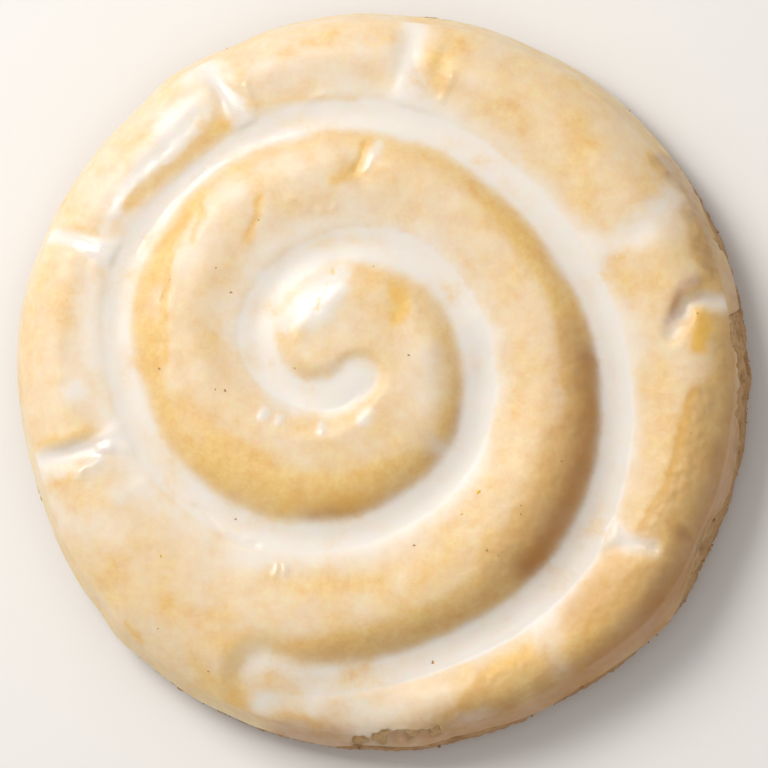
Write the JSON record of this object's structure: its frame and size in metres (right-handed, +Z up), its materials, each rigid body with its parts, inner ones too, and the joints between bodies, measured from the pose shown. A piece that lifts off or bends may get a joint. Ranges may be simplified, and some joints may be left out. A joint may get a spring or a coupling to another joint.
{
  "type": "glazed honey bun cookie",
  "caption": "Round glazed biscuit moulded as a coiled bun: a rope of dough winds out from a knob, with white glaze in the spiral groove and short cuts across the outer turn.",
  "frame": {"origin": "middle of the flat base", "axes": "+Z up through the thickness, +Y towards the broad straight cut in the outer turn, +X to the right of that as seen from above"},
  "size_m": [0.0606, 0.0608, 0.0108],
  "materials": {
    "dough": "baked golden crumb under a thin clear glaze",
    "glaze": "set white sugar glaze, satin to glossy"
  },
  "bodies": {
    "root": {"cookie": "dough", "glaze_pool": "glaze"}
  },
  "joints": []
}
